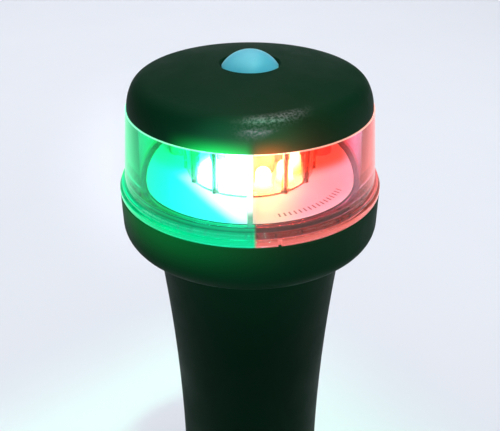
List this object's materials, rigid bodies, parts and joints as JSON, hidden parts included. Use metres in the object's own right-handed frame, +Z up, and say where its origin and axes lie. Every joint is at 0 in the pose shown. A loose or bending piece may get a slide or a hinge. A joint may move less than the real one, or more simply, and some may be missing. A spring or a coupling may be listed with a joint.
{
  "type": "navigation light",
  "caption": "Hand-held boat navigation light: black tapering battery stem, screw-on head with a clear ridged lens, green and red bow sectors, domed cap and push button.",
  "frame": {"origin": "centre of the foot of the base plug", "axes": "+Z up along the stem, -Y towards the bow, +X to port (red side)"},
  "size_m": [0.056, 0.056, 0.1292],
  "materials": {
    "black_soft_touch": "soft-touch satin",
    "black_plastic": "moulded satin",
    "grey_plastic": "moulded satin",
    "clear_plastic": "clear polished",
    "board_white": "white solder mask",
    "green_lamp": "clear epoxy, lit green",
    "red_lamp": "clear epoxy, lit red",
    "blue_silicone": "satin silicone",
    "black_rubber": "matt rubber",
    "foam": "closed-cell foam",
    "screw_steel": "stainless",
    "spring_steel": "drawn wire",
    "contact_metal": "nickelled brass",
    "cell_jacket": "printed shrink sleeve, plain",
    "chip_black": "moulded epoxy",
    "resistor_black": "fired ceramic"
  },
  "bodies": {
    "stem": {"stem_body": "black_soft_touch", "base_plug": "black_plastic", "plug_seal": "black_rubber", "plug_screws": "screw_steel", "battery_bumper": "foam"},
    "seal_ring": {"head_seal": "black_rubber"},
    "head": {"lens": "clear_plastic", "lens_gasket": "black_rubber", "head_base": "black_plastic", "top_cap": "black_soft_touch", "cap_gasket": "black_rubber", "led_board": "board_white", "green_leds": "green_lamp", "red_leds": "red_lamp", "optic_starboard": "clear_plastic", "optic_port": "clear_plastic", "sector_baffle": "grey_plastic", "head_screws": "screw_steel", "switch_body": "chip_black", "driver_chip": "chip_black", "board_resistors": "resistor_black", "board_contacts": "spring_steel", "button_boot": "blue_silicone", "button_retainer": "black_plastic", "retainer_screws": "screw_steel", "cartridge_frame": "black_plastic", "cartridge_top": "black_plastic", "battery_cells": "cell_jacket", "cell_springs": "spring_steel", "cell_contacts": "contact_metal", "cartridge_rivets": "contact_metal"},
    "button": {"button": "blue_silicone", "push_rod": "black_plastic", "return_spring": "spring_steel"},
    "switch_plunger": {"switch_plunger": "chip_black"}
  },
  "joints": [
    {"name": "head_rise", "type": "slide", "parent": "stem", "child": "seal_ring", "axis": [0, 0, 1], "range_m": [0, 0.00313]},
    {"name": "head_unscrew", "type": "hinge", "parent": "seal_ring", "child": "head", "pos_m": [0, 0, 0.1], "axis": [0, 0, 1], "range_deg": [0, 450]},
    {"name": "button_press", "type": "slide", "parent": "head", "child": "button", "axis": [0, 0, -1], "range_m": [0, 0.001], "stiffness_N_per_m": 1200, "springref_m": -0.001, "deforming": ["return_spring"]},
    {"name": "plunger_travel", "type": "slide", "parent": "head", "child": "switch_plunger", "axis": [0, 0, -1], "range_m": [0, 0.00025]}
  ],
  "couplings": [
    {"joint": "head_rise", "follows": "head_unscrew", "m_per_rad": 0.00039789},
    {"joint": "plunger_travel", "follows": "button_press", "ratio": 0.25}
  ]
}
